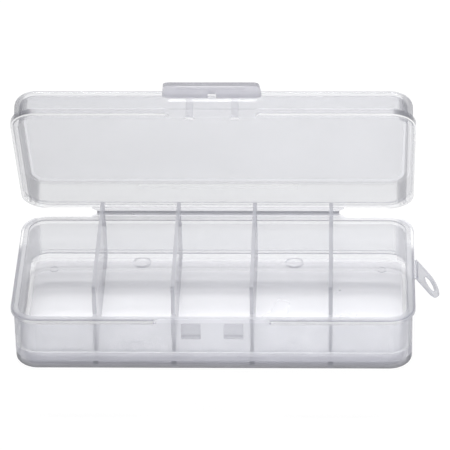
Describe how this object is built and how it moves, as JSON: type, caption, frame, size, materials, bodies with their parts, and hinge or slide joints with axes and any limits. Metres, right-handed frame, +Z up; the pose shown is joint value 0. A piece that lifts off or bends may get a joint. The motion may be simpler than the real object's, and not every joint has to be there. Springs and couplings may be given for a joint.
{
  "type": "compartment box",
  "caption": "Small translucent box with a row of fixed cells, a hinged lid, a fold-down latch and a drooping hang tab, shown open.",
  "frame": {"origin": "the middle of the tray's footprint, on the surface that the box stands on", "axes": "+X along the box to its right, where the hang tab is; +Y towards the rear hinge; +Z up"},
  "size_m": [0.1467, 0.0741, 0.0952],
  "materials": {
    "tray": "translucent moulded polypropylene, glossy",
    "foot": "translucent moulded polypropylene, thicker and so darker",
    "divider": "translucent moulded polypropylene",
    "lid": "translucent moulded polypropylene, glossy",
    "hinge": "translucent polypropylene, thinned to bend",
    "latch": "translucent moulded polypropylene",
    "tab": "translucent moulded polypropylene"
  },
  "bodies": {
    "tray": {"tray_shell": "tray", "tray_rim": "tray", "foot_ring": "foot", "divider_1": "divider", "divider_2": "divider", "divider_3": "divider", "divider_4": "divider", "catch_lug_left": "latch", "catch_lug_right": "latch", "tray_hinge_leaf": "hinge", "hinge_crease": "hinge", "tab_root": "tab"},
    "lid": {"lid_hinge_leaf": "hinge", "lid_shell": "lid", "lid_rim": "lid", "latch_rib_left": "latch", "latch_rib_right": "latch"},
    "latch": {"latch_strap_left": "latch", "latch_strap_right": "latch", "latch_flap": "latch"},
    "tab": {"hang_tab": "tab"}
  },
  "joints": [
    {"name": "lid_hinge", "type": "hinge", "parent": "tray", "child": "lid", "pos_m": [0, 0.0342, 0.0211], "axis": [-1, 0, 0], "range_deg": [-63.5, 116.5]},
    {"name": "latch_hinge", "type": "hinge", "parent": "lid", "child": "latch", "pos_m": [0, 0.00936, 0.08302], "axis": [-1, 0, 0], "range_deg": [-77.3, 60]},
    {"name": "tab_hinge", "type": "hinge", "parent": "tray", "child": "tab", "pos_m": [0.0696, 0, 0.02025], "axis": [0, 1, 0], "range_deg": [-53, 35], "stiffness_Nm_per_rad": 0.0005}
  ]
}
